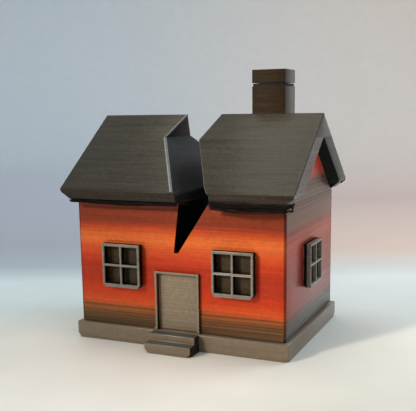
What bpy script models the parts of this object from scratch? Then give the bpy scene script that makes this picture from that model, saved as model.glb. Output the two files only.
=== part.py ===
"""Tabletop terrain house, split from its ridge to just above the door by a jagged crack.

Metres, +Z up. The front of the house faces -Y, and the origin is on the table
under the middle of the four walls. Every printed part of the kit is one object:
base, front steps, walls, door frame and panel, six windows of frame and pane,
and a roof in two halves that lift off on their own, the right one with a chimney.
"""
from math import atan2, cos, hypot, pi, radians, sin, tan

import bmesh
import bpy
from mathutils import Matrix, Vector

MM = 0.001
GAP = 0.3 * MM  # clearance between parts that touch
THROUGH = 120.0 * MM  # half length of a cutter that runs right through the house
SOFTENED_ANGLE = radians(50.0)  # edges sharper than this are rounded on the base and steps

# Walls
WALL_WIDTH = 90.0 * MM  # outside, along X
WALL_DEPTH = 66.6 * MM  # outside, along Y
WALL_THICKNESS = 2.0 * MM

# Base plate and front steps
BASE_HEIGHT = 7.0 * MM
BASE_LEDGE = 1.7 * MM  # how far the base stands out from the walls
BASE_CORNER_CUT = 2.0 * MM  # cut at the foot of each upright corner
BASE_EDGE_ROUND = 0.5 * MM
STEP_WIDTH = 20.0 * MM
STEP_TREAD = 4.2 * MM
STEP_RISE = 4.1 * MM  # height of the lower step; the upper one is level with the base
STEP_CORNER_CUT = 1.8 * MM
STEP_EDGE_ROUND = 0.3 * MM

# Roof
RIDGE_HEIGHT = 92.5 * MM
ROOF_SLOPE = 0.747  # rise over run
ROOF_DROP = 9.3 * MM  # thickness of the slab, measured straight down
EAVES_REACH = 38.8 * MM  # middle of the house to the fascia
EAVES_HEIGHT = 59.0 * MM  # flat underside of the eaves
EAVES_ROUND = 1.2 * MM  # lower edge of the fascia
RIDGE_ROUND = 0.6 * MM
VERGE_REACH = 49.8 * MM  # middle of the house to the end of the roof
VERGE_CUT = (5.3 * MM, 3.6 * MM)  # slanted cut under each end of the eaves: along X, up
END_WALL = 2.4 * MM  # wall that closes each roof half at the crack, measured along X

# Crack: the edges of the opening seen from the front, as (X, Z), the same all the way back
ROOF_CRACK_LEFT = (
    (3.0 * MM, EAVES_HEIGHT),
    (2.4 * MM, 62.3 * MM),
    (0.8 * MM, 64.0 * MM),
    (-14.2 * MM, 83.0 * MM),
    (-9.4 * MM, RIDGE_HEIGHT),
)
ROOF_CRACK_RIGHT = (
    (16.5 * MM, EAVES_HEIGHT),
    (16.2 * MM, 62.6 * MM),
    (13.8 * MM, 65.0 * MM),
    (1.4 * MM, 82.2 * MM),
    (6.0 * MM, RIDGE_HEIGHT),
)
CRACK_FLOOR = 38.8 * MM
WALL_CRACK_LEFT = ((-1.2 * MM, CRACK_FLOOR), (1.4 * MM, EAVES_HEIGHT))
WALL_CRACK_RIGHT = ((0.7 * MM, CRACK_FLOOR), (14.1 * MM, EAVES_HEIGHT))
CRACK_LINER = 1.6 * MM  # thickness of the channel that lines the crack between front and back

# Chimney, on the back slope just behind the ridge
CHIMNEY_WIDTH = 14.3 * MM
CHIMNEY_DEPTH = 13.3 * MM
CHIMNEY_CENTRE = (26.2 * MM, 7.8 * MM)
CHIMNEY_TOP = 110.0 * MM
CAP_HEIGHT = 5.3 * MM
NECK_HEIGHT = 1.4 * MM
NECK_INSET = 0.3 * MM
FLUE_WIDTH = 8.6 * MM
FLUE_DEPTH = 3.5 * MM

# Windows: grey grille glued over a dark pane that plugs the hole in the wall
WINDOW_WIDTH = 17.0 * MM
WINDOW_HEIGHT = 17.9 * MM
WINDOW_CENTRE_HEIGHT = 32.45 * MM
WINDOW_PROUD = 3.1 * MM
STILE = 0.9 * MM
TOP_RAIL = 1.1 * MM
MULLION = 0.8 * MM
MUNTIN = 0.9 * MM
SILL = 1.4 * MM
SILL_CORNER_CUT = (1.1 * MM, 1.4 * MM)
PANE_OVERLAP = 0.4 * MM  # how far the grille covers the edge of the hole
PANE_RECESS = 0.4 * MM
PANE_THICKNESS = 1.4 * MM
FRONT_LEFT_WINDOW_X = -23.85 * MM
FRONT_RIGHT_WINDOW_X = 24.6 * MM
GABLE_WINDOW_Y = -2.4 * MM

# Door
DOOR_X = 0.2 * MM
DOOR_FRAME_WIDTH = 19.3 * MM
DOOR_FRAME_TOP = 31.2 * MM
DOOR_FRAME_FACE = 0.9 * MM
DOOR_FRAME_PROUD = 1.4 * MM
DOOR_OVERLAP = 0.45 * MM
DOOR_RECESS = 0.6 * MM
DOOR_THICKNESS = 1.4 * MM

# Lift-off roof halves: the left one is drawn away from the crack as it rises
LEFT_LIFT_TILT = radians(12.0)

HALF_WIDTH = WALL_WIDTH / 2
HALF_DEPTH = WALL_DEPTH / 2
WALL_TOP = EAVES_HEIGHT - GAP
WALL_FOOT = BASE_HEIGHT + GAP
ROOF_INNER_APEX = RIDGE_HEIGHT - ROOF_DROP
SLOPE_GAP = GAP * hypot(1.0, ROOF_SLOPE)  # GAP across the slope, measured straight up


# Scene helpers -----------------------------------------------------------------------------


def clear_scene():
    for item in list(bpy.data.objects):
        bpy.data.objects.remove(item, do_unlink=True)


def new_collection(name):
    collection = bpy.data.collections.new(name)
    bpy.context.scene.collection.children.link(collection)
    return collection


def make_material(name, colour, roughness):
    material = bpy.data.materials.new(name)
    material.use_nodes = True
    shader = material.node_tree.nodes["Principled BSDF"]
    shader.inputs["Base Color"].default_value = (*colour, 1.0)
    shader.inputs["Roughness"].default_value = roughness
    shader.inputs["Metallic"].default_value = 0.0
    material.diffuse_color = (*colour, 1.0)
    return material


def mesh_object(name, mesh, collection):
    item = bpy.data.objects.new(name, mesh)
    collection.objects.link(item)
    return item


def part(name, mesh, material):
    """One named sub-part, kept in the house's collection."""
    if not mesh.materials:
        mesh.materials.append(material)
    return mesh_object(name, mesh, house)


def cutter(name, mesh):
    """A guide solid for Boolean modifiers, not part of the house."""
    item = mesh_object(name, mesh, cutters)
    item.hide_render = True
    item.display_type = "WIRE"
    return item


def combine(target, other, operation):
    modifier = target.modifiers.new(other.name, "BOOLEAN")
    modifier.operation = operation
    modifier.solver = "EXACT"
    modifier.object = other


def set_origin(item, point):
    """Move the object's origin to a point without moving its mesh in the world."""
    item.data.transform(Matrix.Translation(-Vector(point)))
    item.location = point


def hang_on(item, pivot):
    """Parent the object to a lifting pivot, with its origin on the lifting line."""
    set_origin(item, pivot.location)
    item.parent = pivot
    item.matrix_parent_inverse = pivot.matrix_world.inverted()


# Shape helpers -----------------------------------------------------------------------------


def mesh_from(bm, name):
    bmesh.ops.recalc_face_normals(bm, faces=bm.faces)
    mesh = bpy.data.meshes.new(name)
    bm.to_mesh(mesh)
    bm.free()
    return mesh


def box_bmesh(low, high):
    bm = bmesh.new()
    size = Vector(high) - Vector(low)
    middle = (Vector(high) + Vector(low)) / 2
    bmesh.ops.create_cube(bm, size=1.0)
    bmesh.ops.transform(bm, matrix=Matrix.Diagonal((*size, 1.0)), verts=bm.verts)
    bmesh.ops.translate(bm, vec=middle, verts=bm.verts)
    return bm


def box(name, low, high):
    return mesh_from(box_bmesh(low, high), name)


def extrude_outlines(name, outlines, low, high, axis):
    """Solid between low and high along an axis.

    The first outline is the solid's edge and the others are holes. Outlines are (X, Z)
    along Y and (Y, Z) along X.
    """
    curve = bpy.data.curves.new(name, "CURVE")
    curve.dimensions = "2D"
    curve.fill_mode = "BOTH"
    curve.extrude = (high - low) / 2
    for outline in outlines:
        spline = curve.splines.new("POLY")
        spline.points.add(len(outline) - 1)
        for point, (across, up) in zip(spline.points, outline):
            point.co = (across, up, 0.0, 1.0)
        spline.use_cyclic_u = True
    flat = bpy.data.objects.new(name, curve)
    cutters.objects.link(flat)
    bpy.context.view_layer.update()
    evaluated = flat.evaluated_get(bpy.context.evaluated_depsgraph_get())
    mesh = bpy.data.meshes.new_from_object(evaluated)
    bpy.data.objects.remove(flat, do_unlink=True)

    if axis == "X":
        turn = Matrix(((0, 0, 1), (1, 0, 0), (0, 1, 0))).to_4x4()
        shift = Vector(((low + high) / 2, 0, 0))
    else:
        turn = Matrix.Rotation(pi / 2, 4, "X")
        shift = Vector((0, (low + high) / 2, 0))
    bm = bmesh.new()
    bm.from_mesh(mesh)
    bpy.data.meshes.remove(mesh)
    bmesh.ops.remove_doubles(bm, verts=bm.verts, dist=0.0001 * MM)
    bmesh.ops.transform(bm, matrix=Matrix.Translation(shift) @ turn, verts=bm.verts)
    return mesh_from(bm, name)


def rectangle(left, right, bottom, top):
    return [(left, bottom), (right, bottom), (right, top), (left, top)]


def rounded_corner(before, corner, after, radius, steps=3):
    """Points of the arc that replaces one corner of an outline."""
    to_before = (Vector(before) - Vector(corner)).normalized()
    to_after = (Vector(after) - Vector(corner)).normalized()
    half_angle = to_before.angle(to_after) / 2
    bisector = (to_before + to_after).normalized()
    centre = Vector(corner) + bisector * (radius / sin(half_angle))
    start = Vector(corner) + to_before * (radius / tan(half_angle)) - centre
    end = Vector(corner) + to_after * (radius / tan(half_angle)) - centre
    first = atan2(start.y, start.x)
    sweep = atan2(end.y, end.x) - first
    sweep -= 2 * pi * round(sweep / (2 * pi))
    angles = [first + sweep * step / steps for step in range(steps + 1)]
    return [(centre.x + radius * cos(a), centre.y + radius * sin(a)) for a in angles]


def mirrored(half_outline):
    """Close an outline drawn for Y >= 0, bottom to top, with its image at Y <= 0."""
    return half_outline + [(-y, z) for y, z in reversed(half_outline) if y > 0]


def edge_at(edge, height, shift=0.0):
    """Point of a straight crack edge at a height, moved sideways by a distance across it."""
    (low_x, low_z), (high_x, high_z) = edge
    lean = (high_x - low_x) / (high_z - low_z)
    return (low_x + lean * (height - low_z) + shift * hypot(1.0, lean), height)


def shifted(points, distance):
    return [(x + distance, z) for x, z in points]


# Sub-parts ---------------------------------------------------------------------------------


def soften(item, width):
    bevel = item.modifiers.new("edge_round", "BEVEL")
    bevel.width = width
    bevel.segments = 2
    bevel.limit_method = "ANGLE"
    bevel.angle_limit = SOFTENED_ANGLE


def make_base():
    half_x = HALF_WIDTH + BASE_LEDGE
    half_y = HALF_DEPTH + BASE_LEDGE
    bm = box_bmesh((-half_x, -half_y, 0), (half_x, half_y, BASE_HEIGHT))
    feet = [vert for vert in bm.verts if vert.co.z < GAP]
    bmesh.ops.bevel(bm, geom=feet, offset=BASE_CORNER_CUT, affect="VERTICES", segments=1)
    base = part("base_plinth", mesh_from(bm, "base_plinth"), grey)
    soften(base, BASE_EDGE_ROUND)


def make_steps():
    back = -(HALF_DEPTH + BASE_LEDGE + GAP)
    half = STEP_WIDTH / 2
    outline = [
        (back, 0),
        (back, BASE_HEIGHT),
        (back - STEP_TREAD, BASE_HEIGHT),
        (back - STEP_TREAD, STEP_RISE),
        (back - 2 * STEP_TREAD, STEP_RISE),
        (back - 2 * STEP_TREAD, 0),
    ]
    mesh = extrude_outlines("front_steps", [outline], -half, half, "X")
    bm = bmesh.new()
    bm.from_mesh(mesh)
    toes = [vert for vert in bm.verts if vert.co.z < GAP and vert.co.y < back - STEP_TREAD]
    bmesh.ops.bevel(bm, geom=toes, offset=STEP_CORNER_CUT, affect="VERTICES", segments=1)
    bm.to_mesh(mesh)
    bm.free()
    steps = part("front_steps", mesh, grey)
    set_origin(steps, (0, back, 0))
    soften(steps, STEP_EDGE_ROUND)


def is_upright(face):
    return abs(face.normal.z) < 0.1


def make_walls():
    """Open-topped shell with gables, split by a lined channel where the crack runs."""
    gable = mirrored([
        (HALF_DEPTH, WALL_FOOT),
        (HALF_DEPTH, WALL_TOP),
        (HALF_DEPTH - WALL_THICKNESS - GAP, WALL_TOP),
        (0, ROOF_INNER_APEX - SLOPE_GAP),
    ])
    skin = extrude_outlines("walls", [gable], -HALF_WIDTH, HALF_WIDTH, "X")
    bm = bmesh.new()
    bm.from_mesh(skin)
    open_faces = [face for face in bm.faces if not is_upright(face)]
    bmesh.ops.delete(bm, geom=open_faces, context="FACES_ONLY")
    bm.to_mesh(skin)
    bm.free()
    walls = part("walls", skin, shell)
    thicken = walls.modifiers.new("thickness", "SOLIDIFY")
    thicken.thickness = WALL_THICKNESS
    thicken.offset = -1.0
    thicken.use_even_offset = True

    channel_top = WALL_TOP - GAP
    channel = [
        edge_at(WALL_CRACK_LEFT, CRACK_FLOOR - CRACK_LINER, -CRACK_LINER),
        edge_at(WALL_CRACK_RIGHT, CRACK_FLOOR - CRACK_LINER, CRACK_LINER),
        edge_at(WALL_CRACK_RIGHT, channel_top, CRACK_LINER),
        edge_at(WALL_CRACK_LEFT, channel_top, -CRACK_LINER),
    ]
    reach = HALF_DEPTH - WALL_THICKNESS / 2
    liner = extrude_outlines("channel", [channel], -reach, reach, "Y")
    combine(walls, cutter("add_channel", liner), "UNION")

    crack = [*WALL_CRACK_LEFT, *reversed(WALL_CRACK_RIGHT)]
    slot = extrude_outlines("crack", [crack], -THROUGH, THROUGH, "Y")
    combine(walls, cutter("cut_crack", slot), "DIFFERENCE")

    hole_x = WINDOW_WIDTH / 2 - PANE_OVERLAP
    hole_z = WINDOW_HEIGHT / 2 - PANE_OVERLAP
    hole_y = 2 * WALL_THICKNESS
    hole = box("window_hole", (-hole_x, -hole_y, -hole_z), (hole_x, hole_y, hole_z))
    for name, (place, turn) in WINDOWS.items():
        window_cutter = cutter(f"cut_window_{name}", hole)
        window_cutter.location = place
        window_cutter.rotation_euler.z = turn
        combine(walls, window_cutter, "DIFFERENCE")

    door_x = DOOR_FRAME_WIDTH / 2 - DOOR_FRAME_FACE + DOOR_OVERLAP
    door_top = DOOR_FRAME_TOP - DOOR_FRAME_FACE + DOOR_OVERLAP
    doorway = box(
        "doorway",
        (DOOR_X - door_x, -HALF_DEPTH - hole_y, 0),
        (DOOR_X + door_x, -HALF_DEPTH + hole_y, door_top),
    )
    combine(walls, cutter("cut_doorway", doorway), "DIFFERENCE")


def make_windows():
    """Grille and pane, drawn once about the window's middle and facing -Y."""
    half_x = WINDOW_WIDTH / 2
    half_z = WINDOW_HEIGHT / 2
    cut_x, cut_z = SILL_CORNER_CUT
    edge = [
        (-half_x + cut_x, -half_z),
        (half_x - cut_x, -half_z),
        (half_x, -half_z + cut_z),
        (half_x, half_z),
        (-half_x, half_z),
        (-half_x, -half_z + cut_z),
    ]
    columns = ((-half_x + STILE, -MULLION / 2), (MULLION / 2, half_x - STILE))
    light_height = (WINDOW_HEIGHT - TOP_RAIL - MUNTIN - SILL) / 2
    sill_top = -half_z + SILL
    rows = (
        (sill_top, sill_top + light_height),
        (half_z - TOP_RAIL - light_height, half_z - TOP_RAIL),
    )
    lights = [rectangle(*column, *row) for column in columns for row in rows]
    grille = extrude_outlines("window_grille", [edge, *lights], -WINDOW_PROUD, -GAP, "Y")

    pane_x = half_x - PANE_OVERLAP - GAP
    pane_z = half_z - PANE_OVERLAP - GAP
    pane = box(
        "window_pane",
        (-pane_x, PANE_RECESS, -pane_z),
        (pane_x, PANE_RECESS + PANE_THICKNESS, pane_z),
    )
    for name, (place, turn) in WINDOWS.items():
        for kind, mesh, material in (("frame", grille, grey), ("pane", pane, dark)):
            item = part(f"window_{kind}_{name}", mesh, material)
            item.location = place
            item.rotation_euler.z = turn


def make_door():
    outer_x = DOOR_FRAME_WIDTH / 2
    inner_x = outer_x - DOOR_FRAME_FACE
    inner_top = DOOR_FRAME_TOP - DOOR_FRAME_FACE
    arch = [
        (-outer_x, WALL_FOOT),
        (-inner_x, WALL_FOOT),
        (-inner_x, inner_top),
        (inner_x, inner_top),
        (inner_x, WALL_FOOT),
        (outer_x, WALL_FOOT),
        (outer_x, DOOR_FRAME_TOP),
        (-outer_x, DOOR_FRAME_TOP),
    ]
    mesh = extrude_outlines("door_frame", [arch], -DOOR_FRAME_PROUD, -GAP, "Y")
    frame = part("door_frame", mesh, grey)
    frame.location = (DOOR_X, -HALF_DEPTH, 0)

    panel_x = inner_x + DOOR_OVERLAP - GAP
    panel_top = inner_top + DOOR_OVERLAP - GAP
    panel = part(
        "door_panel",
        box(
            "door_panel",
            (-panel_x, DOOR_RECESS, WALL_FOOT),
            (panel_x, DOOR_RECESS + DOOR_THICKNESS, panel_top),
        ),
        grey,
    )
    panel.location = (DOOR_X, -HALF_DEPTH, 0)


def slab_outline():
    """Section of the whole roof across the house, down to the level of the eaves."""
    fascia_top = (EAVES_REACH, RIDGE_HEIGHT - ROOF_SLOPE * EAVES_REACH)
    fascia_foot = (EAVES_REACH, EAVES_HEIGHT)
    ridge = (0, RIDGE_HEIGHT)
    ridge_arc = rounded_corner(
        fascia_top, ridge, (-fascia_top[0], fascia_top[1]), RIDGE_ROUND, steps=4
    )
    return mirrored([
        (0, EAVES_HEIGHT),
        *rounded_corner((0, EAVES_HEIGHT), fascia_foot, fascia_top, EAVES_ROUND),
        *rounded_corner(fascia_foot, fascia_top, ridge, RIDGE_ROUND, steps=2),
        *ridge_arc[:3],
    ])


def make_roof_half(name, side, crack_edge, pivot):
    """Slab over one side of the crack; side is -1 for the left half and 1 for the right."""
    cut_x, cut_z = VERGE_CUT
    outer = side * VERGE_REACH
    above = RIDGE_HEIGHT + GAP
    elevation = [
        (outer - side * cut_x, EAVES_HEIGHT),
        *crack_edge[:-1],
        edge_at(crack_edge[-2:], above),
        (outer, above),
        (outer, EAVES_HEIGHT + cut_z),
    ]
    mesh = extrude_outlines(name, [elevation], -THROUGH, THROUGH, "Y")
    roof = part(name, mesh, dark)
    section = extrude_outlines("section", [slab_outline()], -THROUGH, THROUGH, "X")
    combine(roof, cutter(f"{name}_section", section), "INTERSECT")

    # The hollow under the slab runs from the end wall at the crack out past the verge.
    below = EAVES_HEIGHT - GAP
    apex_reach = (ROOF_INNER_APEX - below) / ROOF_SLOPE
    wedge = [(-apex_reach, below), (apex_reach, below), (0, ROOF_INNER_APEX)]
    hollow = cutter(f"{name}_hollow", extrude_outlines("hollow", [wedge], -THROUGH, THROUGH, "X"))
    inner_edge = shifted(crack_edge, side * END_WALL)
    foot_x = inner_edge[0][0]
    far = side * THROUGH * 2
    end_plane = [
        (foot_x, 0),
        *inner_edge[:-1],
        edge_at(inner_edge[-2:], above),
        (far, above),
        (far, 0),
    ]
    keep = extrude_outlines("keep", [end_plane], -THROUGH, THROUGH, "Y")
    combine(hollow, cutter(f"{name}_end_plane", keep), "INTERSECT")
    combine(roof, hollow, "DIFFERENCE")

    hang_on(roof, pivot)


def make_chimney(pivot):
    """Stack with a neck, standing on the back slope, and a cap with an open flue."""
    x, y = CHIMNEY_CENTRE
    half_x = CHIMNEY_WIDTH / 2
    half_y = CHIMNEY_DEPTH / 2
    cap_foot = CHIMNEY_TOP - CAP_HEIGHT
    shoulder = cap_foot - NECK_HEIGHT
    roof_line = RIDGE_HEIGHT + SLOPE_GAP
    side_view = [
        (y - half_y, roof_line - ROOF_SLOPE * (y - half_y)),
        (y + half_y, roof_line - ROOF_SLOPE * (y + half_y)),
        (y + half_y, shoulder),
        (y - half_y, shoulder),
    ]
    stack_mesh = extrude_outlines("chimney_stack", [side_view], x - half_x, x + half_x, "X")
    stack = part("chimney_stack", stack_mesh, dark)
    neck_x = half_x - NECK_INSET
    neck_y = half_y - NECK_INSET
    neck = box(
        "neck",
        (x - neck_x, y - neck_y, shoulder - NECK_HEIGHT),
        (x + neck_x, y + neck_y, cap_foot - GAP),
    )
    combine(stack, cutter("add_neck", neck), "UNION")

    cap_mesh = box(
        "chimney_cap", (x - half_x, y - half_y, cap_foot), (x + half_x, y + half_y, CHIMNEY_TOP)
    )
    cap = part("chimney_cap", cap_mesh, dark)
    flue_half = FLUE_WIDTH / 2
    flue = box(
        "flue",
        (x - flue_half, y - flue_half, CHIMNEY_TOP - FLUE_DEPTH),
        (x + flue_half, y + flue_half, CHIMNEY_TOP + FLUE_DEPTH),
    )
    combine(cap, cutter("cut_flue", flue), "DIFFERENCE")

    for item in (stack, cap):
        hang_on(item, pivot)


def make_pivot(name, x, tilt):
    """Empty on a roof half's lifting line; its Z axis points the way the half lifts."""
    pivot = bpy.data.objects.new(name, None)
    house.objects.link(pivot)
    pivot.location = (x, 0, EAVES_HEIGHT)
    pivot.rotation_euler.y = tilt
    bpy.context.view_layer.update()
    return pivot


clear_scene()
house = new_collection("terrain_house")
cutters = new_collection("cutters")

shell = make_material("wall_filament", (0.52, 0.09, 0.03), 0.42)
grey = make_material("grey_filament", (0.21, 0.17, 0.12), 0.55)
dark = make_material("black_filament", (0.045, 0.040, 0.030), 0.50)

WINDOWS = {
    "front_left": ((FRONT_LEFT_WINDOW_X, -HALF_DEPTH, WINDOW_CENTRE_HEIGHT), 0.0),
    "front_right": ((FRONT_RIGHT_WINDOW_X, -HALF_DEPTH, WINDOW_CENTRE_HEIGHT), 0.0),
    "right": ((HALF_WIDTH, GABLE_WINDOW_Y, WINDOW_CENTRE_HEIGHT), pi / 2),
    "back_right": ((FRONT_RIGHT_WINDOW_X, HALF_DEPTH, WINDOW_CENTRE_HEIGHT), pi),
    "back_left": ((FRONT_LEFT_WINDOW_X, HALF_DEPTH, WINDOW_CENTRE_HEIGHT), pi),
    "left": ((-HALF_WIDTH, GABLE_WINDOW_Y, WINDOW_CENTRE_HEIGHT), -pi / 2),
}

make_base()
make_steps()
make_walls()
make_windows()
make_door()

left_pivot = make_pivot("roof_left_lift", -HALF_WIDTH / 2, -LEFT_LIFT_TILT)
right_pivot = make_pivot("roof_right_lift", HALF_WIDTH / 2, 0.0)
make_roof_half("roof_left", -1, ROOF_CRACK_LEFT, left_pivot)
make_roof_half("roof_right", 1, ROOF_CRACK_RIGHT, right_pivot)
make_chimney(right_pivot)
bpy.context.view_layer.update()
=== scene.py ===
"""Looks of the cracked tabletop house: layered filament surfaces round the fixed CAD frame."""

import random
from math import cos, pi, radians, sin

import bmesh
import bpy
from mathutils import Matrix, Vector


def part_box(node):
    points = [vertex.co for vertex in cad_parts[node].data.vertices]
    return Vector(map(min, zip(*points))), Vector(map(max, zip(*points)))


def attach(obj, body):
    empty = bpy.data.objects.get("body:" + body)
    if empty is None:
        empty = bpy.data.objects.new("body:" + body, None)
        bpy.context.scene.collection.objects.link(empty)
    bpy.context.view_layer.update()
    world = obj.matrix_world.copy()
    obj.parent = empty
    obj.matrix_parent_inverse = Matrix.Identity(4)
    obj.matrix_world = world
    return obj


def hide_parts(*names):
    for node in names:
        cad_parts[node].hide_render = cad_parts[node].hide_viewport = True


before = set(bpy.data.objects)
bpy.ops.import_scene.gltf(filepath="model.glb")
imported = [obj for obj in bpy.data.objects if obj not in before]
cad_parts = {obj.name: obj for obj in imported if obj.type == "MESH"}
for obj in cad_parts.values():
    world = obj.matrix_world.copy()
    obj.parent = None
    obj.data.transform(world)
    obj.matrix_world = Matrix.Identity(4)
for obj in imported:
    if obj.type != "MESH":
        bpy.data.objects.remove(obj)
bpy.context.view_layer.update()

MM = 0.001
WELD = 0.001 * MM
LAYER = 0.3 * MM  # height of one printed layer
STRAND = 0.21 * MM  # radius of one loose extruded line
PRINT_TOP = 0.13  # layers are counted up to this height, in metres

VIEW_AZIMUTH = radians(23.96)  # the side of the house that faces the camera
SKY = 0.55  # strength of the world's even light

# Colours of the table, by the distance beyond the house in metres. They are painted light and
# shade: darker and cooler to the left and in a band behind the house, warmer and lighter to the
# right, as the light falls unevenly on the floor and backdrop.
TABLE_SPAN = (-0.5, 1.3)
TABLE_LEFT = (
    (-0.40, (182, 180, 174)),
    (-0.24, (196, 193, 186)),
    (-0.12, (244, 238, 229)),
    (-0.02, (252, 248, 240)),
    (0.03, (212, 222, 222)),
    (0.09, (210, 222, 226)),
    (0.13, (172, 182, 192)),
    (0.20, (166, 172, 183)),
    (0.45, (180, 184, 198)),
    (1.30, (226, 234, 240)),
)
TABLE_RIGHT = (
    (-0.40, (182, 180, 174)),
    (-0.24, (196, 193, 186)),
    (-0.12, (226, 220, 210)),
    (-0.02, (226, 226, 219)),
    (0.03, (236, 239, 236)),
    (0.09, (242, 244, 243)),
    (0.125, (226, 222, 217)),
    (0.17, (226, 202, 190)),
    (0.45, (206, 184, 178)),
    (1.30, (255, 246, 238)),
)

# Colours of the prints, by height in millimetres.
WALL_SHADES = (
    (7.0, (46, 36, 27)),
    (7.5, (90, 66, 43)),
    (10.0, (108, 77, 47)),
    (12.3, (126, 80, 46)),
    (14.6, (158, 88, 43)),
    (16.9, (206, 82, 34)),
    (21.0, (200, 60, 22)),
    (26.0, (180, 52, 25)),
    (32.0, (182, 52, 24)),
    (36.0, (202, 66, 30)),
    (39.8, (218, 88, 42)),
    (43.0, (226, 112, 52)),
    (45.8, (216, 98, 44)),
    (48.0, (186, 68, 34)),
    (50.5, (134, 54, 32)),
    (54.0, (138, 57, 30)),
    (58.0, (128, 58, 40)),
    (82.0, (120, 60, 50)),
)
# Painted sheen on the gables: the walls' filament made greyer and browner, grey over the middle
# heights, to stand in for the grey sheen on these side walls.
GABLE_SHEEN_SHADES = (
    (7.0, (26, 24, 20)),
    (7.9, (52, 42, 30)),
    (10.0, (72, 61, 48)),
    (12.3, (93, 78, 66)),
    (14.6, (113, 62, 50)),
    (16.9, (144, 58, 43)),
    (21.0, (159, 52, 40)),
    (26.0, (153, 58, 47)),
    (32.0, (152, 58, 47)),
    (36.0, (160, 61, 50)),
    (39.8, (172, 62, 47)),
    (43.0, (183, 73, 50)),
    (45.8, (167, 62, 43)),
    (48.0, (145, 62, 47)),
    (50.5, (124, 87, 74)),
    (54.0, (122, 95, 82)),
    (58.0, (112, 89, 77)),
    (63.0, (105, 87, 77)),
    (66.0, (123, 80, 65)),
    (69.0, (211, 84, 68)),
    (71.0, (245, 78, 66)),
    (74.0, (236, 80, 66)),
    (82.0, (211, 66, 57)),
)
ROOF_SHADES = (
    (59.0, (36, 30, 22)),
    (63.2, (42, 34, 25)),
    (63.9, (50, 44, 33)),
    (92.0, (56, 51, 38)),
)
ROOF_SHADES_TOP = 0.093  # height at which the roof's colours end, in metres
PLAIN_TOP = 0.12  # the same for the prints of one colour
CORNER_SHADE = 0.40  # painted shade: brightness of the walls' rounded corners against the walls

# Grain of the noises: how many grains a metre holds along X, Y and Z.
FINE_GRAIN = (24.0, 24.0, 2600.0)
BAND_GRAIN = 1050.0  # along Z only
GROOVE_GRAIN = (5.0, 5.0, 1150.0)
MOTTLE_GRAIN = (700.0, 700.0, 700.0)
BOARD_GRAIN = (60.0, 60.0, 60.0)

DUST_COLOUR = (190, 186, 172)
DUST_GRAIN = 1100.0  # cells to a metre
DUST_SIZE = 0.15  # radius of a speck, in cells
DUST_BARE = 0.72  # share of the cells that hold no speck
COAT_ROUGHNESS = 0.22
RELIEF = 0.07 * MM  # depth of the fine bump on the prints

# Heights in metres between which the layer lines show dark: at the foot of the walls, and
# across the gables at the eaves.
FOOT_LINES = (0.0, 0.0155)
GABLE_LINES = (0.0572, 0.0665)

WINDOWS = ("front_left", "front_right", "right", "back_right", "back_left", "left")

# Widths of the rounded edges, and how far single layers stand in or out.
CORNER_EDGE, WALL_RIPPLE = 0.9 * MM, 0.045 * MM
ROOF_RIPPLE = 0.045 * MM
CHIMNEY_EDGE, CHIMNEY_RIPPLE = 0.3 * MM, 0.04 * MM
BASE_EDGE, BASE_RIPPLE = 0.2 * MM, 0.035 * MM
STEPS_EDGE, STEPS_RIPPLE = 0.18 * MM, 0.05 * MM
FRAME_EDGE, FRAME_RIPPLE = 0.12 * MM, 0.10 * MM
PANEL_EDGE, PANEL_RIPPLE = 0.12 * MM, 0.03 * MM
CRACK_HIGHLIGHT_WIDTH = {-1: 0.75, 1: 0.4}  # millimetres; painted highlight along the crack edges, wider on the left half

# Thickness of the grey outer layers of the window and door frames.
WINDOW_SKIN = 0.55 * MM
DOOR_SKIN = 0.4 * MM
GABLE_SKINS = 3  # the gables' windows are grey this many times deeper

# The crack through the walls: x of its left and right side at its foot and under the eaves.
CRACK_FLOOR = 38.8 * MM
CRACK_FOOT = (-1.2 * MM, 0.7 * MM)
CRACK_TOP = (1.4 * MM, 14.1 * MM)

WALLS_LOW, WALLS_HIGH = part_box("walls")
BASE_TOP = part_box("base_plinth")[1].z
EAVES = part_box("roof_left")[0].z
ROOF_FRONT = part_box("roof_left")[0].y
RIGHT_ROOF_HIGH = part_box("roof_right")[1]
VERGE_CUT = (5.3 * MM, 3.6 * MM)  # slanted cut under each end of the eaves: along X, up
RIGHT_ROOF_EAVE_X = 16.4 * MM  # where the right half's fascia starts at the crack
CHIMNEY_NECK = 1.5 * MM  # height of the groove at the top of the stack, painted dark as shade

# Places of the finishes in each print's list of materials. The step ends, wall corners, gables,
# chimney edges and sides, and the roof's crack edges, verge edges and undersides hold painted
# light and shade.
TREAD, STEP_END_SHADE = 1, 2
CORNER, GABLE_SHEEN = 1, 2
CHIMNEY_EDGE_SHADE, CHIMNEY_SIDE_SHEEN = 1, 2
CRACK_EDGE_HIGHLIGHT, VERGE_EDGE_SHADE, RAKE, SOFFIT_SHADE, CRACK_FACE = range(1, 6)


# Camera, lights and stage ------------------------------------------------------------------


def add_camera():
    azimuth = VIEW_AZIMUTH
    pitch = radians(10.08)
    roll = radians(-0.83)
    distance = 319.82 * MM
    target = Vector((-1.14, 0.0, 38.41)) * MM

    back = Vector((sin(azimuth) * cos(pitch), -cos(azimuth) * cos(pitch), sin(pitch)))
    right = (-back).cross(Vector((0, 0, 1))).normalized()
    up = right.cross(-back)
    side = right * cos(roll) + up * sin(roll)
    head = up * cos(roll) - right * sin(roll)

    data = bpy.data.cameras.new("camera")
    data.lens = 63.64
    data.sensor_width = 36.0
    data.shift_y = 0.083
    data.clip_start = 0.01
    data.clip_end = 20.0
    camera = bpy.data.objects.new("camera", data)
    bpy.context.scene.collection.objects.link(camera)
    turn = Matrix((side, head, back)).transposed()
    camera.matrix_world = Matrix.Translation(target + back * distance) @ turn.to_4x4()
    bpy.context.scene.camera = camera


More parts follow.
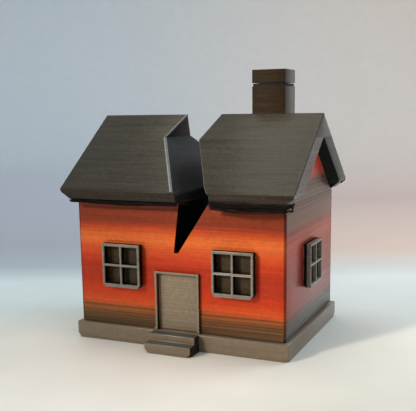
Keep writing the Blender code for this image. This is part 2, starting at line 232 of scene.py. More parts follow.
def add_light(name, kind, place, aim, power, colour):
    """A light that shines from its place towards aim; returns its data."""
    data = bpy.data.lights.new(name, kind)
    data.energy = power
    data.color = colour
    light = bpy.data.objects.new(name, data)
    bpy.context.scene.collection.objects.link(light)
    light.location = place
    light.rotation_mode = "QUATERNION"
    light.rotation_quaternion = (Vector(aim) - Vector(place)).to_track_quat("-Z", "Y")
    light.visible_camera = False
    return data


def add_area_light(name, place, aim, size, power, colour):
    data = add_light(name, "AREA", place, aim, power, colour)
    data.shape = "SQUARE"
    data.size = size


def add_spot_light(name, place, aim, width, power, colour):
    """Soft-edged pool of light; width is the full angle of the cone in degrees."""
    data = add_light(name, "SPOT", place, aim, power, colour)
    data.spot_size = radians(width)
    data.spot_blend = 1.0
    data.shadow_soft_size = 0.06


def add_lights():
    """Warm key and accent from the front left, warm top light, cool fill from behind."""
    add_area_light("key", (-0.42, -0.78, 0.52), (0, 0, 0.04), 0.28, 2.0, (1.0, 0.92, 0.80))
    add_spot_light(
        "accent", (-0.42, -0.80, 0.46), (0.070, 0, 0.045), 11.5, 38.0, (1.0, 0.88, 0.74)
    )
    add_area_light("top", (-0.10, 0.08, 0.85), (-0.10, 0.08, 0), 0.40, 1.9, (1.0, 0.95, 0.82))
    add_area_light("fill", (0.55, 0.65, 0.75), (0, 0, 0.04), 0.6, 4.4, (0.82, 0.95, 1.0))


def add_world():
    world = bpy.data.worlds.new("studio")
    bpy.context.scene.world = world
    world.use_nodes = True
    background = world.node_tree.nodes["Background"]
    background.inputs["Color"].default_value = (0.80, 0.91, 1.0, 1.0)
    background.inputs["Strength"].default_value = SKY
    bpy.context.scene.view_settings.view_transform = "Standard"


def add_stage():
    """Pale round table that curves up into a wall all the way round."""
    flat, bend, rise, sectors = 0.95, 0.30, 1.0, 96
    flat_rings, bend_rings = 8, 12
    profile = [(flat * step / flat_rings, 0.0) for step in range(1, flat_rings + 1)]
    for step in range(1, bend_rings + 1):
        a = step / bend_rings * pi / 2
        profile.append((flat + bend * sin(a), bend * (1 - cos(a))))
    profile.append((flat + bend, rise))
    bm = bmesh.new()
    centre = bm.verts.new((0, 0, 0))
    rings = []
    for radius, height in profile:
        ring = []
        for sector in range(sectors):
            a = sector / sectors * 2 * pi
            ring.append(bm.verts.new((radius * cos(a), radius * sin(a), height)))
        rings.append(ring)
    for sector in range(sectors):
        after = (sector + 1) % sectors
        bm.faces.new((centre, rings[0][sector], rings[0][after]))
        for inner, outer in zip(rings, rings[1:]):
            bm.faces.new((inner[sector], outer[sector], outer[after], inner[after]))
    mesh = bpy.data.meshes.new("table")
    bm.to_mesh(mesh)
    bm.free()
    mesh.shade_smooth()
    mesh.materials.append(stage_material())
    table = bpy.data.objects.new("table", mesh)
    bpy.context.scene.collection.objects.link(table)


# Materials ---------------------------------------------------------------------------------


def srgb(red, green, blue):
    """Linear colour of an 8-bit sRGB triple."""
    return tuple(
        v / 12.92 if v <= 0.04045 else ((v + 0.055) / 1.055) ** 2.4
        for v in (red / 255, green / 255, blue / 255)
    )


class Nodes:
    """Short calls for building a material's node tree."""

    def __init__(self, name):
        self.material = bpy.data.materials.new(name)
        self.material.use_nodes = True
        self.tree = self.material.node_tree
        self.shader = self.tree.nodes["Principled BSDF"]
        self.position = self.tree.nodes.new("ShaderNodeTexCoord").outputs["Object"]

    def link(self, output, socket):
        self.tree.links.new(output, socket)

    def feed(self, socket, value):
        if isinstance(value, bpy.types.NodeSocket):
            self.link(value, socket)
        else:
            socket.default_value = value

    def scaled(self, scale):
        node = self.tree.nodes.new("ShaderNodeMapping")
        self.link(self.position, node.inputs["Vector"])
        node.inputs["Scale"].default_value = scale
        return node.outputs["Vector"]

    def noise(self, scale, detail=2.0, roughness=0.5):
        """Noise whose grain is 1 / scale metres along each axis."""
        node = self.tree.nodes.new("ShaderNodeTexNoise")
        self.link(self.scaled(scale), node.inputs["Vector"])
        node.inputs["Scale"].default_value = 1.0
        node.inputs["Detail"].default_value = detail
        node.inputs["Roughness"].default_value = roughness
        return node.outputs["Fac"]

    def math(self, operation, first, second=0.0, third=0.0):
        node = self.tree.nodes.new("ShaderNodeMath")
        node.operation = operation
        for socket, value in zip(node.inputs, (first, second, third)):
            self.feed(socket, value)
        return node.outputs["Value"]

    def spread(self, value, low, high):
        """Stretch the middle of a noise from low to high."""
        node = self.tree.nodes.new("ShaderNodeMapRange")
        self.link(value, node.inputs["Value"])
        node.inputs["From Min"].default_value = 0.3
        node.inputs["From Max"].default_value = 0.7
        node.inputs["To Min"].default_value = low
        node.inputs["To Max"].default_value = high
        return node.outputs["Result"]

    def sway(self, value, reach):
        """Stretch the middle of a noise to at most reach on either side of one."""
        return self.spread(value, 1 - reach, 1 + reach)

    def axes(self):
        node = self.tree.nodes.new("ShaderNodeSeparateXYZ")
        self.link(self.position, node.inputs["Vector"])
        return node.outputs

    def ramp(self, value, stops):
        node = self.tree.nodes.new("ShaderNodeValToRGB")
        self.feed(node.inputs["Fac"], value)
        elements = node.color_ramp.elements
        while len(elements) < len(stops):
            elements.new(0.5)
        for element, (place, colour) in zip(elements, stops):
            element.position = place
            element.color = (*colour, 1.0)
        return node.outputs["Color"]

    def mix(self, factor, first, second):
        """Mix two colours, each a socket or a linear triple."""
        node = self.tree.nodes.new("ShaderNodeMix")
        node.data_type = "RGBA"
        self.feed(node.inputs["Factor"], factor)
        sockets = [socket for socket in node.inputs if socket.type == "RGBA"]
        for socket, value in zip(sockets, (first, second)):
            is_socket = isinstance(value, bpy.types.NodeSocket)
            self.feed(socket, value if is_socket else (*value, 1.0))
        return next(socket for socket in node.outputs if socket.type == "RGBA")

    def brighten(self, colour, factor):
        node = self.tree.nodes.new("ShaderNodeVectorMath")
        node.operation = "SCALE"
        self.link(colour, node.inputs[0])
        self.feed(node.inputs["Scale"], factor)
        return node.outputs["Vector"]

    def specks(self, strength):
        """Sparse round spots: how far each point is covered by a speck of dust."""
        node = self.tree.nodes.new("ShaderNodeTexVoronoi")
        self.link(self.position, node.inputs["Vector"])
        node.inputs["Scale"].default_value = DUST_GRAIN
        near = self.math("LESS_THAN", node.outputs["Distance"], DUST_SIZE)
        split = self.tree.nodes.new("ShaderNodeSeparateColor")
        self.link(node.outputs["Color"], split.inputs["Color"])
        chosen = self.math("GREATER_THAN", split.outputs["Red"], DUST_BARE)
        faint = self.math("MULTIPLY", split.outputs["Green"], strength)
        return self.math("MULTIPLY", self.math("MULTIPLY", near, chosen), faint)

    def bump(self, height, distance, strength):
        node = self.tree.nodes.new("ShaderNodeBump")
        node.inputs["Strength"].default_value = strength
        node.inputs["Distance"].default_value = distance
        self.link(height, node.inputs["Height"])
        self.link(node.outputs["Normal"], self.shader.inputs["Normal"])


def height_stops(shades, low, high):
    """Ramp stops from pairs of a height in millimetres and an sRGB colour."""
    return [((z * MM - low) / (high - low), srgb(*colour)) for z, colour in shades]


def table_stops(shades):
    near, far = TABLE_SPAN
    return [((away - near) / (far - near), srgb(*colour)) for away, colour in shades]


def filament_material(name, stops, low, high, roughness, gloss, streak, silk=0.0, coat=0.7,
                      dust=0.0, grit=0.08, dashes=9.0, lines=0.6, lined=()):
    """Printed filament: colour by height, fine horizontal layer streaks, mottled sheen.

    The stops run from the height low to the height high. Streak is how far the layers
    differ in brightness, and lines how much of that the broader bands take. Dashes is how
    many bands a metre holds sideways, and lined lists the heights with dark layer lines.
    """
    n = Nodes(name)
    height = n.math("DIVIDE", n.math("SUBTRACT", n.axes()["Z"], low), high - low)
    colour = n.ramp(height, stops)
    fine = n.noise(FINE_GRAIN, detail=2.0, roughness=0.6)
    bands = n.noise((dashes, dashes, BAND_GRAIN), detail=3.0, roughness=0.6)
    mottle = n.noise(MOTTLE_GRAIN, detail=3.0)
    shade = n.math("MULTIPLY", n.sway(fine, streak), n.sway(bands, streak * lines))
    shade = n.math("MULTIPLY", shade, n.sway(mottle, grit))
    for start, end in lined:
        inside = n.math("MULTIPLY", n.math("GREATER_THAN", n.axes()["Z"], start),
                        n.math("LESS_THAN", n.axes()["Z"], end))
        grooves = n.spread(n.noise(GROOVE_GRAIN, detail=1.0), 0.45, 1.25)
        darker = n.math("MULTIPLY_ADD", inside, n.math("SUBTRACT", grooves, 1.0), 1.0)
        shade = n.math("MULTIPLY", shade, darker)
    shaded = n.brighten(colour, shade)
    if dust:
        shaded = n.mix(n.specks(dust), shaded, srgb(*DUST_COLOUR))
    n.link(shaded, n.shader.inputs["Base Color"])
    rough = n.math("ADD", n.spread(fine, roughness - 0.07, roughness + 0.07),
                   n.spread(mottle, -0.05, 0.05))
    n.link(rough, n.shader.inputs["Roughness"])
    n.shader.inputs["Specular IOR Level"].default_value = gloss
    n.shader.inputs["Metallic"].default_value = silk
    n.shader.inputs["Coat Weight"].default_value = coat
    n.shader.inputs["Coat Roughness"].default_value = COAT_ROUGHNESS
    relief = n.math("ADD", n.math("MULTIPLY", fine, 0.8), n.math("MULTIPLY", mottle, 0.35))
    n.bump(relief, RELIEF, 0.9)
    return n.material


def plain_filament(name, colour, roughness, gloss, streak, **look):
    """Filament of one colour, given as an sRGB triple."""
    stops = [(0.0, srgb(*colour)), (1.0, srgb(*colour))]
    return filament_material(name, stops, 0.0, PLAIN_TOP, roughness, gloss, streak, **look)


def stage_material():
    """Pale board with painted light and shade: cooler and darker towards the left of the view,
    warmer to its right.
    """
    n = Nodes("table_painted_light")
    axes = n.axes()
    away = n.math("MULTIPLY_ADD", axes["X"], -sin(VIEW_AZIMUTH),
                  n.math("MULTIPLY", axes["Y"], cos(VIEW_AZIMUTH)))
    across = n.math("MULTIPLY_ADD", axes["X"], cos(VIEW_AZIMUTH),
                    n.math("MULTIPLY", axes["Y"], sin(VIEW_AZIMUTH)))
    near, far = TABLE_SPAN
    depth = n.math("DIVIDE", n.math("SUBTRACT", away, near), far - near)
    cool = n.ramp(depth, table_stops(TABLE_LEFT))
    warm = n.ramp(depth, table_stops(TABLE_RIGHT))
    side = n.tree.nodes.new("ShaderNodeMapRange")
    side.interpolation_type = "SMOOTHSTEP"
    reach = n.math("ADD", n.math("MAXIMUM", away, -0.15), 0.32)
    n.link(n.math("DIVIDE", across, reach), side.inputs["Value"])
    side.inputs["From Min"].default_value = -0.22
    side.inputs["From Max"].default_value = 0.26
    board = n.mix(side.outputs["Result"], cool, warm)
    grain = n.noise(BOARD_GRAIN, detail=4.0)
    n.link(n.brighten(board, n.spread(grain, 0.985, 1.015)), n.shader.inputs["Base Color"])
    n.link(n.spread(grain, 0.62, 0.72), n.shader.inputs["Roughness"])
    n.shader.inputs["Specular IOR Level"].default_value = 0.2
    n.bump(grain, 0.02 * MM, 0.3)
    return n.material


# Geometry ----------------------------------------------------------------------------------


def cad_bmesh(node):
    """A new mesh that starts from a CAD node's shape, with its flat faces joined up."""
    bm = bmesh.new()
    bm.from_mesh(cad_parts[node].data)
    bmesh.ops.remove_doubles(bm, verts=bm.verts, dist=WELD)
    bmesh.ops.dissolve_limit(
        bm, angle_limit=radians(0.5), verts=bm.verts, edges=bm.edges,
        use_dissolve_boundaries=False,
    )
    return bm


def is_sharp(edge, angle=radians(35)):
    return len(edge.link_faces) == 2 and edge.calc_face_angle(0.0) > angle


def bevel_edges(bm, edges, width, segments=2, clamp=True):
    """Round the edges off; returns the new faces."""
    return bmesh.ops.bevel(
        bm, geom=edges, offset=width, offset_type="OFFSET", segments=segments,
        profile=0.5, affect="EDGES", clamp_overlap=clamp,
    )["faces"]


def slice_layers(bm):
    """Cut the mesh at every layer, lowest first, so that each layer has its own ring."""
    low = min(vert.co.z for vert in bm.verts)
    high = max(vert.co.z for vert in bm.verts)
    level = (int(low / LAYER) + 1) * LAYER
    while level < high - LAYER * 0.2:
        faces = [f for f in bm.faces if max(v.co.z for v in f.verts) > level]
        edges = {e for f in faces for e in f.edges}
        verts = {v for f in faces for v in f.verts}
        bmesh.ops.bisect_plane(
            bm, geom=[*verts, *edges, *faces], dist=WELD,
            plane_co=(0, 0, level), plane_no=(0, 0, 1),
        )
        level += LAYER


def layer_offsets(depth, seed):
    """How far each layer stands in or out: small random steps and slow waves."""
    rng = random.Random(seed)
    offsets = []
    drift = 0.0
    for _ in range(int(PRINT_TOP / LAYER) + 2):
        drift = 0.8 * drift + rng.gauss(0, 0.35)
        step = 0.75 * rng.uniform(-1, 1) + 0.25 * max(-1, min(1, drift))
        offsets.append(depth * step)
    return offsets


def ripple_layers(bm, depth, seed):
    """Push each layer's ring in or out by its own small amount."""
    offsets = layer_offsets(depth, seed)
    bm.normal_update()
    moves = []
    for vert in bm.verts:
        flat = Vector((vert.normal.x, vert.normal.y, 0.0))
        if flat.length < 0.35 or any(abs(face.normal.z) > 0.95 for face in vert.link_faces):
            continue
        amount = offsets[int(round(vert.co.z / LAYER))] * min(vert.calc_shell_factor(), 1.6)
        moves.append((vert, flat.normalized() * amount))
    for vert, move in moves:
        vert.co += move


def finish_piece(name, bm, materials, body, nodes=(), sharp=30):
    """Turn a mesh into a piece that rides on a body and stands for the CAD nodes."""
    bmesh.ops.recalc_face_normals(bm, faces=bm.faces)
    mesh = bpy.data.meshes.new(name)
    bm.to_mesh(mesh)
    bm.free()
    mesh.shade_smooth()
    mesh.set_sharp_from_angle(angle=radians(sharp))
    for material in materials:
        mesh.materials.append(material)
    piece = bpy.data.objects.new(name, mesh)
    bpy.context.scene.collection.objects.link(piece)
    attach(piece, body)
    if nodes:
        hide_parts(*nodes)


def finish_layers(node, bm, materials, body, depth, seed):
    """Give a mesh its layer lines and let it stand for its CAD node."""
    slice_layers(bm)
    ripple_layers(bm, depth, seed)
    finish_piece(f"{node}_print", bm, materials, body, nodes=(node,))


def build_block(node, material, rounding, depth, seed):
    """A CAD node with softened edges and its own layer lines."""
    bm = cad_bmesh(node)
    bevel_edges(bm, [e for e in bm.edges if is_sharp(e)], rounding)
    finish_layers(node, bm, [material], "house", depth, seed)


def build_steps(materials, seed):
    """Steps whose treads are darker than their fronts, with painted shade on their ends."""
    bm = cad_bmesh("front_steps")
    bevel_edges(bm, [e for e in bm.edges if is_sharp(e)], STEPS_EDGE)
    bm.normal_update()
    for face in bm.faces:
        if face.normal.z > 0.8:
            face.material_index = TREAD
        elif abs(face.normal.x) > 0.6:
            face.material_index = STEP_END_SHADE
    finish_layers("front_steps", bm, materials, "house", STEPS_RIPPLE, seed)


def separate_faces(bm, faces):
    """Move some of the faces to a mesh of their own."""
    bm.faces.index_update()
    chosen = {face.index for face in faces}
    other = bm.copy()
    other.faces.index_update()
    bmesh.ops.delete(
        other, geom=[f for f in other.faces if f.index not in chosen], context="FACES"
    )
    bmesh.ops.delete(bm, geom=[f for f in bm.faces if f.index in chosen], context="FACES")
    return other


def is_corner(edge):
    """Whether the edge runs up one of the building's outer corners."""
    first, second = (vert.co for vert in edge.verts)
    upright = abs(first.x - second.x) < WELD and abs(first.y - second.y) < WELD
    return (
        upright and abs(first.z - second.z) > MM and is_sharp(edge)
        and abs(abs(first.x) - WALLS_HIGH.x) < WELD
        and abs(abs(first.y) - WALLS_HIGH.y) < WELD
    )


def is_in_crack(face):
    """Whether the face of the walls belongs to the channel behind the crack."""
    centre = face.calc_center_median()
    rise = (centre.z - CRACK_FLOOR) / (EAVES - CRACK_FLOOR)
    left, right = (foot + (top - foot) * rise for foot, top in zip(CRACK_FOOT, CRACK_TOP))
    on_side = min(abs(centre.x - left), abs(centre.x - right)) < 0.2 * MM
    on_floor = abs(centre.z - CRACK_FLOOR) < 0.1 * MM and left - MM < centre.x < right + MM
    is_inside = abs(centre.y) < WALLS_HIGH.y - 0.1 * MM
    return is_inside and rise > -0.01 and (on_side or on_floor)


def build_walls(materials, crack_shade_material, seed):
    """Walls with painted shade down their corners and painted sheen on the gables, and a
    separate piece of painted shade inside their crack.
    """
    bm = cad_bmesh("walls")
    bm.normal_update()
    # The gables take the copy of the wall filament with painted sheen.
    for face in bm.faces:
        if abs(face.normal.x) > 0.95:
            face.material_index = GABLE_SHEEN
    # The rounded outer corners take a darker copy of the wall filament, painted shade.
    corners = [e for e in bm.edges if is_corner(e)]
    for face in bevel_edges(bm, corners, CORNER_EDGE, segments=3):
        face.material_index = CORNER
    slice_layers(bm)
    # The faces inside the crack's channel go to a piece of their own, painted near-black as
    # shade.
    crack_shade = separate_faces(bm, [f for f in bm.faces if is_in_crack(f)])
    ripple_layers(bm, WALL_RIPPLE, seed)
    finish_piece("walls_print", bm, materials, "house", nodes=("walls",))
    finish_piece("crack_painted_shade", crack_shade, [crack_shade_material], "house",
                 nodes=("walls",))


def build_roof(node, body, side, materials, seed):
    """One roof half: painted shade along the verge edge and under the roof, and a painted
    highlight along the edges at the crack.
    """
    bm = cad_bmesh(node)
    bm.normal_update()

    def kind(face):
        outward = face.normal.x * side
        if face.normal.z > 0.5 and abs(face.normal.y) > 0.4:
            return "slope"
        if outward < -0.1:
            return "crack"
        if outward > 0.95:
            return "verge"
        if outward > 0.3 and face.normal.z < -0.3:
            return "cut"
        if abs(face.normal.y) > 0.95:
            return "fascia"
        return "other"

    # The bevels at the crack edges get a painted highlight, those between slope and verge
    # painted shade.
    for pair, width, look, segments in (  # widths in millimetres
        ({"slope", "crack"}, CRACK_HIGHLIGHT_WIDTH[side], CRACK_EDGE_HIGHLIGHT, 3),
        ({"slope", "verge"}, 0.45, VERGE_EDGE_SHADE, 2),
        ({"fascia", "crack"}, 0.4, 0, 2),
        ({"fascia", "verge"}, 0.8, 0, 2),
        ({"verge", "cut"}, 1.4, RAKE, 4),
    ):
        edges = [
            e for e in bm.edges
            if is_sharp(e, radians(20)) and {kind(face) for face in e.link_faces} == pair
        ]
        if edges:
            for face in bevel_edges(bm, edges, width * MM, segments, clamp=False):
                face.material_index = look
            bm.normal_update()
    # Faces left unbevelled: the crack faces and the verge and cut faces take their own
    # finishes, the undersides painted shade.
    for face in bm.faces:
        if face.material_index:
            continue
        if face.normal.x * side < -0.1:
            face.material_index = CRACK_FACE
        elif abs(face.normal.x) > 0.3:
            face.material_index = RAKE
        elif face.normal.z < -0.3:
            face.material_index = SOFFIT_SHADE
    finish_layers(node, bm, materials, body, ROOF_RIPPLE, seed)


def build_chimney(node, materials, seed):
    """Chimney block: painted shade down each upright edge and in the neck, painted sheen at its
    sides.
    """
    bm = cad_bmesh(node)
    bm.normal_update()
    upright = [
        e for e in bm.edges
        if is_sharp(e) and abs((e.verts[0].co - e.verts[1].co).normalized().z) > 0.9
        and all(f.normal.z < 0.5 for f in e.link_faces)
    ]
    for face in bevel_edges(bm, upright, CHIMNEY_EDGE):
        face.material_index = CHIMNEY_EDGE_SHADE
    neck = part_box(node)[1].z - CHIMNEY_NECK
    for face in bm.faces:
        if face.material_index == 0 and abs(face.normal.x) > 0.95:
            face.material_index = CHIMNEY_SIDE_SHEEN
        if node == "chimney_stack" and face.calc_center_median().z > neck:
            face.material_index = CHIMNEY_EDGE_SHADE
    finish_layers(node, bm, materials, "right_roof", CHIMNEY_RIPPLE, seed)


def build_frame(node, skin, face_material, body_material, seed):
    """A frame printed in black, with its outermost layers, a skin thick, in grey."""
    low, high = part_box(node)
    out_axis = 0 if high.x - low.x < high.y - low.y else 1
    if out_axis == 0:
        skin *= GABLE_SKINS
    outward = 1.0 if (low + high)[out_axis] > 0 else -1.0
    front = high[out_axis] if outward > 0 else low[out_axis]
    bm = cad_bmesh(node)
    bevel_edges(bm, [e for e in bm.edges if is_sharp(e)], FRAME_EDGE)
    slice_layers(bm)
    ripple_layers(bm, FRAME_RIPPLE, seed)
    normal = Vector((0, 0, 0))
    normal[out_axis] = outward
    split = Vector((0, 0, 0))
    split[out_axis] = front - outward * skin
    bmesh.ops.bisect_plane(
        bm, geom=[*bm.verts, *bm.edges, *bm.faces], dist=WELD, plane_co=split, plane_no=normal,
    )
    behind = [f for f in bm.faces if (f.calc_center_median() - split).dot(normal) < 0]
    sides = separate_faces(bm, behind)
    finish_piece(f"{node}_face", bm, [face_material], "house", nodes=(node,))
    finish_piece(f"{node}_sides", sides, [body_material], "house", nodes=(node,))


# Loose strands -----------------------------------------------------------------------------


def add_tube(bm, points, radius, sides=6):
    """A closed tube of one extruded line through the points, tapered at both ends."""
    rings = []
    for index, point in enumerate(points):
        before = points[max(index - 1, 0)]
        after = points[min(index + 1, len(points) - 1)]
        turn = (after - before).to_track_quat("Z", "Y")
        is_end = index in (0, len(points) - 1)
        reach = radius * (0.35 if is_end else 1.0)
        rings.append([
            bm.verts.new(point + turn @ Vector((reach * cos(a), reach * sin(a), 0.0)))
            for a in (2 * pi * k / sides for k in range(sides))
        ])
    for first, second in zip(rings, rings[1:]):
        for k in range(sides):
            bm.faces.new((first[k], first[(k + 1) % sides], second[(k + 1) % sides], second[k]))
    bm.faces.new(list(reversed(rings[0])))
    bm.faces.new(rings[-1])


def sagging_line(start, end, sag, wobble, rng, step=0.9 * MM):
    """Points of a line that hangs between two points and wanders a little."""
    start, end = Vector(start), Vector(end)
    count = max(4, int((end - start).length / step))
    phases = [rng.uniform(0, 2 * pi) for _ in range(4)]
    points = []
    for index in range(count + 1):
        t = index / count
        point = start.lerp(end, t)
        point.z -= sag * (4 * t * (1 - t))
        hold = min(1.0, 6 * t, 6 * (1 - t))
        point.z += wobble * hold * (
            0.6 * sin(9 * t + phases[0]) + 0.4 * sin(23 * t + phases[1])
        )
        point.y += wobble * 0.7 * hold * (
            0.6 * sin(8 * t + phases[2]) + 0.4 * sin(19 * t + phases[3])
        )
        points.append(point)
    return points


def curl(centre, radius, start, sweep, lean, count=10):
    """Points of a small open loop that stands across the view."""
    points = []
    for index in range(count + 1):
        a = start + sweep * index / count
        points.append(Vector(centre) + Vector((
            radius * cos(a), lean * radius * cos(a) + 0.1 * MM * index / count, radius * sin(a),
        )))
    return points


def add_hook(bm, tip, bend, tail, radius):
    """A short bent end of line; bend and tail are its other points, from the tip, in mm."""
    add_tube(bm, [tip + Vector(tail) * MM, tip + Vector(bend) * MM, tip], radius)


def right_strands(rng):
    """Strands of the right roof half: a hanging bundle, curls at its corner, stubs behind."""
    bm = bmesh.new()
    low_x, high_x = RIGHT_ROOF_EAVE_X, RIGHT_ROOF_HIGH.x
    for level in range(8):  # strands that cover the fascia's lower edge
        z = (60.6 - 0.42 * level) * MM
        y = ROOF_FRONT + (0.05 + 0.05 * level) * MM
        start = (low_x + rng.uniform(-0.4, 0.3) * MM, y, z)
        end = (high_x - rng.uniform(1.6, 3.4) * MM, y, z - 0.1 * MM)
        line = sagging_line(start, end, (0.1 + 0.11 * level) * MM, 0.16 * MM, rng)
        add_tube(bm, line, STRAND * rng.uniform(0.85, 1.15))
    for row in range(7):  # strands that hang below the soffit
        y = ROOF_FRONT + (0.7 + 0.62 * row) * MM
        z = EAVES - rng.uniform(0.15, 0.5) * MM
        start = (low_x + rng.uniform(-0.6, 0.4) * MM, y, z)
        end = (high_x - rng.uniform(2.8, 4.6) * MM, y, z)
        line = sagging_line(start, end, rng.uniform(0.5, 1.7) * MM, 0.2 * MM, rng)
        add_tube(bm, line, STRAND)
    for x, z, radius, start, sweep in (  # millimetres, and angles in half turns
        (48.3, 58.7, 0.75, 0.5, -1.45),
        (46.9, 58.3, 0.55, 0.2, 1.6),
        (45.3, 57.9, 0.62, 0.9, 1.9),
        (49.1, 60.2, 0.42, 0.0, 1.7),
        (47.6, 59.9, 0.55, 1.1, 1.5),
        (46.2, 59.3, 0.60, 0.3, 1.8),
    ):
        centre = (x * MM, ROOF_FRONT + rng.uniform(0.2, 1.2) * MM, z * MM)
        lean = rng.uniform(-0.4, 0.4)
        add_tube(bm, curl(centre, radius * MM, start * pi, sweep * pi, lean), STRAND * 1.9)
    for x, z in ((46.3, 57.9), (45.7, 58.3), (48.0, 59.4), (49.2, 60.0), (47.1, 59.3)):
        tip = Vector((x * MM, ROOF_FRONT + rng.uniform(0.1, 0.9) * MM, z * MM))
        add_hook(bm, tip, (-0.4, 0, 0.1), (-0.9, 0.2, 0.5), STRAND * 2.2)
    for index in range(10):  # stubs under the back of the verge
        y = RIGHT_ROOF_HIGH.y - (0.5 + 0.55 * index) * MM
        inset = rng.uniform(0.3, 3.6) * MM
        under = EAVES + max(0.0, (VERGE_CUT[0] - inset) * VERGE_CUT[1] / VERGE_CUT[0])
        top = Vector((high_x - inset, y, under + 0.25 * MM))
        drop = rng.uniform(0.6, 1.2) * MM
        add_tube(bm, [top, top - Vector((0.1 * MM, 0.15 * MM, drop * 0.6)),
                      top - Vector((0.0, 0.3 * MM, drop))], STRAND * 1.2)
    return bm


def left_strands(rng):
    """Strands of the left roof half: long lines, hooks at its corner, fluff at the crack."""
    bm = bmesh.new()
    for z, y, x0, x1, sag in (  # millimetres, with y behind the front of the roof
        (58.98, 0.30, -45.5, 3.2, 0.10),
        (58.75, 0.15, -45.6, 3.4, 0.35),
        (58.50, 0.60, -45.3, 3.1, 0.30),
        (58.25, 0.35, -45.2, 3.0, 0.25),
        (58.55, 1.1, -44.6, 2.6, 0.55),
        (58.5, 1.9, -45.0, 2.2, 0.75),
        (58.6, 2.8, -44.8, 2.0, 1.1),
        (58.6, 3.7, -44.9, 1.4, 1.25),
        (58.7, 4.5, -44.6, 1.2, 1.2),
    ):
        start = (x0 * MM, ROOF_FRONT + y * MM, z * MM)
        end = (x1 * MM, ROOF_FRONT + y * MM, z * MM)
        line = sagging_line(start, end, sag * MM, 0.14 * MM, rng)
        add_tube(bm, line, STRAND * rng.uniform(0.95, 1.2))
    for x, z in ((-47.6, 61.2), (-46.6, 60.4), (-45.6, 59.6), (-44.6, 58.9), (-46.1, 59.7)):
        tip = Vector((x * MM, ROOF_FRONT + rng.uniform(0.3, 1.0) * MM, z * MM))
        add_hook(bm, tip, (0.3, 0, 0.1), (0.9, 0.1, 0.45), STRAND * 1.8)
    for x0, z0, x1, z1 in (
        (3.2, 59.6, 6.2, 60.3),
        (4.2, 60.4, 8.6, 60.7),
        (3.4, 58.9, 7.4, 59.2),
        (5.4, 59.2, 6.6, 61.0),
    ):
        start = (x0 * MM, ROOF_FRONT + 1.4 * MM, z0 * MM)
        end = (x1 * MM, ROOF_FRONT + 3.0 * MM, z1 * MM)
        line = sagging_line(start, end, 0.25 * MM, 0.25 * MM, rng, step=0.5 * MM)
        add_tube(bm, line, STRAND * 0.7)
    return bm


def door_blob():
    """Three short beads of filament at the foot of the door frame."""
    bm = bmesh.new()
    foot = Vector((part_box("door_frame")[0].x, WALLS_LOW.y, BASE_TOP))
    for offset in ((-0.3, -0.9, 0.5), (0.4, -1.5, 0.35), (0.1, -1.2, 1.0)):
        spot = foot + Vector(offset) * MM
        ends = spot - Vector((0.5, 0, 0.1)) * MM, spot + Vector((0.5, 0.1, 0)) * MM
        add_tube(bm, [ends[0], spot, ends[1]], 0.32 * MM, sides=8)
    return bm


def build_strands(material, blob_material):
    """Lines that drooped from the soffits where the printer bridged over air."""
    rng = random.Random(7)
    finish_piece("eave_strands_right", right_strands(rng), [material], "right_roof",
                 sharp=80)
    finish_piece("eave_strands_left", left_strands(rng), [material], "left_roof",
                 sharp=80)
    finish_piece("door_foot_blob", door_blob(), [blob_material], "house",
                 sharp=80)


# Build -------------------------------------------------------------------------------------

add_camera()
add_world()
add_stage()
add_lights()

LOW, HIGH = WALLS_LOW.z, WALLS_HIGH.z
WALL_STOPS = height_stops(WALL_SHADES, LOW, HIGH)
CORNER_STOPS = [
    (place, tuple(CORNER_SHADE * v for v in colour)) for place, colour in WALL_STOPS
]
wall = filament_material(
    "wall_filament", WALL_STOPS, LOW, HIGH, roughness=0.38, gloss=0.2, streak=0.10,
    silk=0.4, coat=0.12, lined=(FOOT_LINES,),
)
# Painted sheen: the gables' greyer copy of the wall filament.
gable_sheen = filament_material(
    "gable_painted_sheen", height_stops(GABLE_SHEEN_SHADES, LOW, HIGH), LOW, HIGH, roughness=0.38,
    gloss=0.2, streak=0.10, silk=0.25, coat=0.35, lined=(FOOT_LINES, GABLE_LINES),
)
# Painted shade: a darker copy of the wall filament for the rounded corners.
corner = filament_material(
    "wall_corner_painted_shade", CORNER_STOPS, LOW, HIGH, roughness=0.55, gloss=0.1, streak=0.10, coat=0.1,
)
roof = filament_material(
    "roof_filament", height_stops(ROOF_SHADES, EAVES, ROOF_SHADES_TOP), EAVES, ROOF_SHADES_TOP,
    roughness=0.46, gloss=0.2, streak=0.26, coat=0.08, dust=0.22, grit=0.30, dashes=40.0,
    lines=1.0,
)
# Name, colour, roughness, gloss, streak.
chimney = plain_filament("chimney_filament", (53, 37, 18), 0.5, 0.12, 0.14,
                         coat=0.15, dust=0.15, grit=0.2)
# Painted sheen: a greyer copy of the chimney's filament for its side faces.
chimney_sheen = plain_filament("chimney_sheen", (60, 55, 48), 0.42, 0.2, 0.14,
                              coat=0.65, grit=0.15)
# Painted highlight: pale grey on the rounded edges at the crack.
crack_highlight = plain_filament("painted_crack_highlight", (84, 88, 86), 0.40, 0.4, 0.22)
# Painted shade: near-black on the rounded edge between slope and verge.
verge_shade = plain_filament("painted_verge_shade", (20, 23, 21), 0.60, 0.15, 0.12)
rake = plain_filament("dark_filament", (40, 39, 35), 0.40, 0.3, 0.16, coat=0.55)
crack_face = plain_filament("crack_filament", (39, 39, 40), 0.54, 0.12, 0.16, coat=0.02)
# Painted shade: near-black undersides of the roof.
soffit = plain_filament("painted_soffit_shade", (12, 11, 10), 0.7, 0.1, 0.2, coat=0.0)
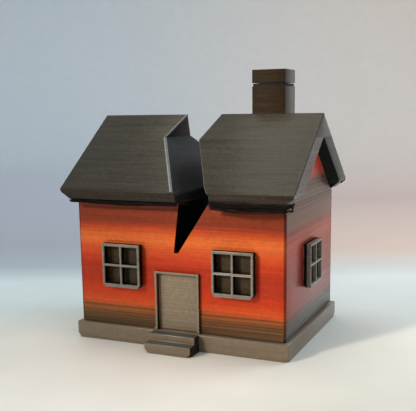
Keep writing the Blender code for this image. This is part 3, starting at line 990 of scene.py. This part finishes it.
# Painted shade: near-black for the inside of the walls' crack, where the walls' filament sits
# in deep shade.
crack_shade = plain_filament("painted_crack_shade", (14, 11, 10), 0.7, 0.08, 0.12, coat=0.02)
# The strands are loose lines of the roof's filament; their colour is darker than the roof's,
# painted shade where they hang under the eaves.
strand = plain_filament("strand_filament", (16, 13, 11), 0.7, 0.1, 0.10, coat=0.0)
grey = plain_filament("grey_filament", (121, 106, 87), 0.36, 0.3, 0.13, coat=0.45)
tread = plain_filament("tread_filament", (82, 84, 77), 0.45, 0.2, 0.16, coat=0.0)
# Painted shade: near-black ends of the steps.
step_shade = plain_filament("painted_step_shade", (38, 39, 36), 0.55, 0.1, 0.25, coat=0.0)
joinery = plain_filament("joinery_filament", (133, 118, 97), 0.4, 0.3, 0.13, grit=0.12)
lattice = plain_filament("lattice_filament", (124, 118, 106), 0.4, 0.3, 0.13,
                         coat=0.5, grit=0.14)
pane = plain_filament("pane_filament", (60, 45, 27), 0.5, 0.2, 0.20, coat=0.2, grit=0.2)
frame_side = plain_filament("frame_side_filament", (14, 12, 10), 0.8, 0.1, 0.16, coat=0.0)

build_walls([wall, corner, gable_sheen], crack_shade, seed=3)
roof_materials = [roof, crack_highlight, verge_shade, rake, soffit, crack_face]
build_roof("roof_left", "left_roof", -1, roof_materials, seed=11)
build_roof("roof_right", "right_roof", 1, roof_materials, seed=12)
# The chimney's edges and neck take the crack faces' near-black filament as painted shade.
build_chimney("chimney_stack", [chimney, crack_face, chimney_sheen], seed=21)
build_chimney("chimney_cap", [chimney, crack_face, chimney_sheen], seed=22)
build_block("base_plinth", grey, BASE_EDGE, BASE_RIPPLE, seed=31)
build_steps([grey, tread, step_shade], seed=32)
build_frame("door_frame", DOOR_SKIN, joinery, frame_side, seed=41)
build_block("door_panel", joinery, PANEL_EDGE, PANEL_RIPPLE, seed=42)
for index, place in enumerate(WINDOWS):
    build_frame(f"window_frame_{place}", WINDOW_SKIN, lattice, frame_side, seed=50 + index)
    build_block(f"window_pane_{place}", pane, PANEL_EDGE, PANEL_RIPPLE,
                seed=60 + index)
build_strands(strand, joinery)
